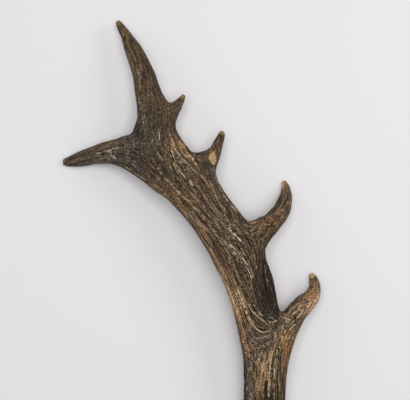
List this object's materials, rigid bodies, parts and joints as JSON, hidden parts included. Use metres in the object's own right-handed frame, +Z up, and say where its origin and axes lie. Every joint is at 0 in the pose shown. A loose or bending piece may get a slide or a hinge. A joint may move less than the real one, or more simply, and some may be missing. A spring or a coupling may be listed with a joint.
{
  "type": "deer antler",
  "caption": "Branching deer antler with a curved ridged beam, knobbly burr, sawn foot, flattened fork and hooked, pointed tines, lying on its side for display.",
  "frame": {"origin": "on the surface the antler lies on, under the middle of its bounding box", "axes": "+X across the antler towards the brow and middle tines, +Y from the sawn foot towards the top tine, +Z up, away from the surface, through the bulging outer side"},
  "size_m": [0.2366, 0.4122, 0.0643],
  "materials": {
    "antler": "satin brown antler bark, ridged along the beam, smooth and glossier on the tines"
  },
  "bodies": {
    "root": {"beam": "antler", "brow_tine": "antler", "middle_tine": "antler", "small_tine": "antler", "front_tine": "antler", "top_tine": "antler"}
  },
  "joints": []
}
